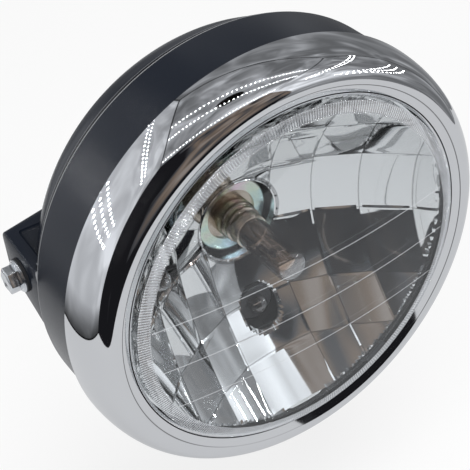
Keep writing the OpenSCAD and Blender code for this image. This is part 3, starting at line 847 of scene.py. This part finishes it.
def clear(name, tint, reach, edge, power=2.2, ribs=False):
    """Thin glass: how far the sheen reaches, how early it starts at the edge, how steeply."""
    f = Finish(name)
    spot, x, y, z = f.where()
    sheen = f.node("LayerWeight", Blend=edge, result="Facing") ** power
    haze = f.noise(spot, 30, 2.0)
    share = sheen * reach + 0.045 + haze * 0.01
    through, normal = f.node("BsdfTransparent", Color=tint), None
    if ribs:
        r = (x * x + z * z).root()
        ring = r.above(RING_FROM, 0.3) * r.below(RING_TO, 0.1)
        flutes = (z.math("ARCTAN2", x) * FLUTES).sine() * ring
        rings = r.near(72.8, 0.3, 0.2) * 0.8 + r.near(77.6, 0.15, 0.1) * 0.5
        lines = 0.0
        for level in RIBS:
            lines = r.below(72.0, 0.4) * z.near(level, 0.22, 0.25) + lines
        triangle = (z - MARK_LOW).least((MARK_TOP - z) * 0.5 - x.size() * 0.866)
        lines = lines + triangle.near(0, 0.28, 0.2) * 0.45
        outside = (y - r * r / (2 * DOME_R) - GLASS_EDGE + RISE).below(1.5, 0.4)
        normal = f.bump(flutes * 0.5 + rings, 0.35)
        share = share + ring * 0.38 + flutes * 0.22 + lines * 0.6 + rings * 0.4
        share = share * (outside * 0.85 + 0.15)
        frost = f.node("BsdfDiffuse", Color=(0.62, 0.65, 0.69, 1), Normal=normal)
        through = f.blend(ring * outside * 0.4, through, frost)
    gloss = f.node("BsdfPrincipled", Base_Color=(0.9, 0.92, 0.94, 1), Metallic=1.0,
                   Roughness=0.03, Normal=normal)
    return f.surface(f.blend(share.least(0.9), through, gloss))


dress(clear("domed_clear", (0.97, 0.98, 0.985, 1), 0.35, 0.35, ribs=True), glass)
dress(clear("bulb_clear", (0.98, 0.94, 0.92, 1), 1.2, 0.5, 1.8), tube, small)

# %% [markdown]
# Chrome shows its surroundings, so they are built too. The photograph was taken in a small light
# tent: a white floor, silver walls, rows of small lamps, a hole in the ceiling, and an open front
# with a dark room behind it. The floor is plain white to the camera and a little grey to chrome.

# %% Floor
FLOOR_Z = -0.165
put_down()
bpy.ops.mesh.primitive_circle_add(vertices=96, radius=2.2, fill_type="NGON",
                                  location=(0, 0, FLOOR_Z))
floor = settle("studio_floor", 0)
f = Finish("pale_floor")
spot, x, y, z = f.where()
pale = f.node("BsdfDiffuse", Color=f.mix(f.noise(spot, 3), grey(0.86), grey(0.88)))
white = f.node("Emission", Color=grey(1.0), Strength=1.0)
soft_white = f.node("Emission", Color=(0.59, 0.60, 0.62, 1), Strength=1.0)
path = f.tree.nodes.new("ShaderNodeLightPath")
seen = Reading(f, path.outputs["Is Camera Ray"])
mirrored = Reading(f, path.outputs["Is Glossy Ray"])
matte = f.blend(mirrored * 0.7, pale, soft_white)
floor.data.materials.append(f.surface(f.blend(seen * 0.75, matte, white)))
print("floor at", FLOOR_Z)

# %% [markdown]
# The world is white where the camera looks past the lamp, and grey in light and reflections,
# so that the black shell keeps its depth.

# %% World
world = bpy.data.worlds.new("studio")
bpy.context.scene.world = world
world.use_nodes = True
nodes, links = world.node_tree.nodes, world.node_tree.links
nodes.clear()
out = nodes.new("ShaderNodeOutputWorld")
back = nodes.new("ShaderNodeBackground")
rays = nodes.new("ShaderNodeLightPath")
blend = nodes.new("ShaderNodeMix")
blend.data_type = "RGBA"
blend.inputs[6].default_value = grey(0.42)
blend.inputs[7].default_value = grey(1.0)
links.new(rays.outputs["Is Camera Ray"], blend.inputs["Factor"])
links.new(blend.outputs[2], back.inputs["Color"])
links.new(back.outputs[0], out.inputs["Surface"])
print("world:", world.name)

# %% [markdown]
# Three large soft lamps light the satin shell and give the pale floor its faint shadow.

# %% Lamps
def softbox(name, at, size, watts):
    """A rectangular lamp that faces the object."""
    data = bpy.data.lights.new(name, "AREA")
    data.shape, data.size, data.size_y, data.energy = "RECTANGLE", size[0], size[1], watts
    lamp = bpy.data.objects.new(name, data)
    bpy.context.scene.collection.objects.link(lamp)
    lamp.location = at
    lamp.rotation_euler = (-Vector(at)).to_track_quat("-Z", "Y").to_euler()
    return lamp


lamps = [softbox("high_light", (0.2, -0.3, 1.5), (1.4, 1.0), 16),
         softbox("left_light", (-1.3, -0.5, 0.7), (0.9, 1.1), 9),
         softbox("front_light", (0.3, -1.6, 0.5), (1.2, 0.7), 7)]
print("lamps:", len(lamps))

# %% [markdown]
# The tent is a box round the lamp, without a bottom. It is turned with the camera, 31 degrees
# from the lamp. Its own axes are: x to the right, y to the back, z up. Only reflections see it.

# %% The tent's walls
LEFT, RIGHT, FRONT, BACK, TOP = -0.34, 0.52, -0.35, 0.36, 0.62
TURN = math.radians(-31)
CEILING_ROWS = (-0.294, -0.069, 0.047)


def unseen(piece):
    """Leaves a piece to reflections alone."""
    piece.visible_camera = piece.visible_diffuse = piece.visible_shadow = False


tent = box_of(Vector((LEFT, FRONT, FLOOR_Z + 0.001)), Vector((RIGHT, BACK, TOP)), "light_tent")
tent.rotation_euler = (0, 0, TURN)
drop_faces(tent, lambda f: f.normal.z < -0.9)
unseen(tent)
print("tent walls:", len(tent.data.polygons))

# %% [markdown]
# The lining is uneven silver: crumpled cloth, brighter to the left and beside the rows of
# lamps. It glows by itself, which is quicker and calmer than to light it with lamps.

# %% Silver lining
f = Finish("silver_lining")
spot, x, y, z = f.where(lamp=False)
crumple = f.node("TexNoise", Vector=spot, Scale=5.0, Detail=2.0, Roughness=0.45, Distortion=1.2)
cloth = crumple.above(0.5, 0.42)
overhead = z.above(TOP - 0.004, 0.002)
left_side = x.below(LEFT + 0.004, 0.002)
right_side = x.above(RIGHT - 0.004, 0.002)
opening = y.below(FRONT + 0.004, 0.002)
glow = 0.0
for row in CEILING_ROWS:
    close = 1 - ((y - row).size() / 0.09).least(1.0)
    glow = close * close + glow
level = cloth * cloth * 0.42 + 0.16 + glow * overhead * 0.22
level = level + left_side * (0.45 - (z - 0.1).size() * 0.5) * z.above(-0.11, 0.1)
level = level + right_side * y.below(-0.04, 0.2) * z.above(0.12, 0.2) * (cloth * 0.9 + 0.3)
level = level + overhead * y.below(-0.2, 0.12) * x.above(0.1, 0.25) * 0.6
level = level * (1 - left_side * z.below(-0.11, 0.11) * 0.75)

# %% [markdown]
# Dark folds run where two walls meet, the ceiling has a round hole, and the room in front is
# seen through the open side. Chrome draws all three as thin dark shapes.

# %% Folds, the ceiling's hole and the room in front
left, right, back, top, low = x - LEFT, x - RIGHT, y - BACK, z - TOP, z - FLOOR_Z
folds = 0.0
for a, b in ((left, top), (right, top), (left, low), (back, top), (right, back), (left, back)):
    folds = folds + (a.size() + b.size()).below(0.007, 0.003)
hole = (x - 0.035) * (x - 0.035) + (y + 0.045) * (y + 0.045) * 2.2
hole = overhead * hole.root().below(0.075, 0.004)
level = level * (1 - folds.least(1.0) * 0.93) * (1 - hole)
silver = f.node("CombineColor", Red=level * 0.97, Green=level * 0.99, Blue=level * 1.03)
room = f.node("TexNoise", Vector=spot, Scale=7.0, Detail=1.0, Roughness=0.4, Distortion=0.6)
lit = x.above(0.0, 0.3) * z.above(0.0, 0.12)
dim = f.node("ValToRGB", {"stops": [
    (0.28, (0.012, 0.012, 0.014, 1)), (0.36, (0.07, 0.071, 0.077, 1)),
    (0.50, (0.19, 0.145, 0.115, 1)), (0.64, (0.30, 0.26, 0.235, 1))]}, Fac=room * (lit * 0.6 + 0.4))
tent.data.materials.append(f.solid(
    Base_Color=grey(0.0), Roughness=1.0, Specular_IOR_Level=0.0,
    Emission_Color=f.mix(opening, silver, dim), Emission_Strength=1.0))
print("tent wears", tent.data.materials[0].name)

# %% [markdown]
# The small lamps are what makes chrome sparkle. One flat disc is repeated along a line by an
# Array modifier: three rows on the ceiling, and five on each side wall.

# %% Rows of small lamps
def lamp_row(start, step, count, facing):
    """One disc, repeated along a line in the tent."""
    put_down()
    bpy.ops.mesh.primitive_circle_add(vertices=12, radius=0.0065, fill_type="NGON",
                                      location=(0, 0, 0),
                                      rotation=Vector(facing).to_track_quat("Z", "Y").to_euler())
    disc = settle("lamp", 0)
    disc.scale = [0.36 if size else 0.8 for size in step]
    disc = settle("lamp", 0)
    apply(disc, "ARRAY", count=count, use_relative_offset=False, use_constant_offset=True,
          constant_offset_displace=step)
    disc.location = start
    return settle("row", 0)


rows_of_lamps = [lamp_row((LEFT + 0.02, y, TOP - 0.01), (0.024, 0, 0), 35, (0, 0, -1))
                 for y in CEILING_ROWS]
for side, first, count in ((LEFT + 0.01, -0.22, 17), (RIGHT - 0.01, -0.2, 22)):
    facing = (1 if side < 0 else -1, 0, 0)
    rows_of_lamps += [lamp_row((side, first + z - 0.37, z), (0, 0.026, 0), count, facing)
                      for z in (0.372, 0.4)]
    rows_of_lamps += [lamp_row((side, first + 0.03, z), (0, 0.024, 0), count - 4, facing)
                      for z in (0.105, 0.14, 0.175)]
dots = join("lamp_rows", *rows_of_lamps, smooth=0)
dots.rotation_euler = (0, 0, TURN)
f = Finish("lamp_glow")
dots.data.materials.append(f.surface(f.node("Emission", Color=grey(1.0), Strength=24.0)))
unseen(dots)
print("lamp rows:", len(rows_of_lamps))

# %% [markdown]
# The camera stands where the photograph's did. Its place and turn were worked out from the
# lamp's own circles: they are seen from above and from the left, with a slight roll.

# %% Camera
data = bpy.data.cameras.new("camera")
data.sensor_width, data.lens = 36, 1244.42 / 470 * 36
data.shift_x, data.shift_y = -0.0373, -0.0407
data.clip_start = 0.01
camera = bpy.data.objects.new("camera", data)
bpy.context.scene.collection.objects.link(camera)
right = Vector((0.82026729, -0.56683669, -0.07653587))
up = Vector((0.39927243, 0.47162745, 0.78622457))
ahead = Vector((0.40956452, 0.67547296, -0.61318283))
pose = Matrix((right, up, -ahead)).transposed().to_4x4()
pose.translation = Vector((-0.21275, -0.38004, 0.31876))
camera.matrix_world = pose
bpy.context.scene.camera = camera
bpy.context.scene.view_settings.view_transform = "Standard"
print("camera at", tuple(round(v, 3) for v in pose.translation))

# %% The end
put_down()
